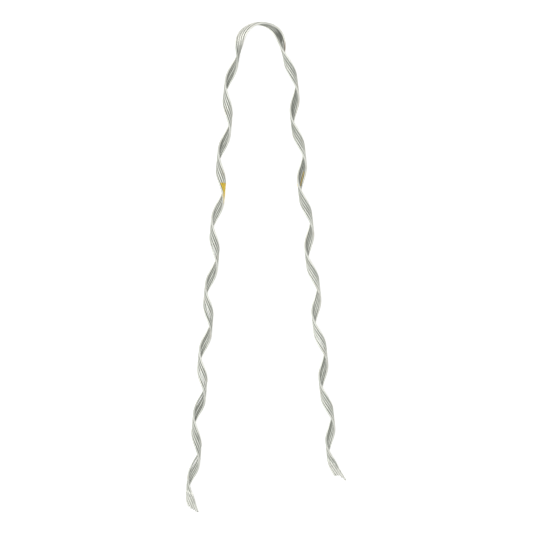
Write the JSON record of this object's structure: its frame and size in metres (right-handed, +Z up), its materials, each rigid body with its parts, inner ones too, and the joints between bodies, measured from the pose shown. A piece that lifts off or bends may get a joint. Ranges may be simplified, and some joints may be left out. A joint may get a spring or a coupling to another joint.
{
  "type": "preformed dead end grip",
  "caption": "Hairpin of helically formed steel wires for ending an overhead strand: a smooth open loop for a thimble and two long legs that wrap onto the strand.",
  "frame": {"origin": "middle of the bounding box in X and Y, at the lowest point of the wires in Z", "axes": "+Y from the tips towards the loop, +Z up from the table that the grip lies on, +X to the right of the hairpin seen from above with the loop away"},
  "size_m": [0.2086, 0.6362, 0.0155],
  "materials": {
    "coated_steel": "dull zinc coating, with grit bonded to the inside of the wires and a yellow paint mark on the outside of each leg"
  },
  "bodies": {
    "root": {"formed_wire_1": "coated_steel", "formed_wire_2": "coated_steel", "formed_wire_3": "coated_steel", "formed_wire_4": "coated_steel", "formed_wire_5": "coated_steel"}
  },
  "joints": []
}
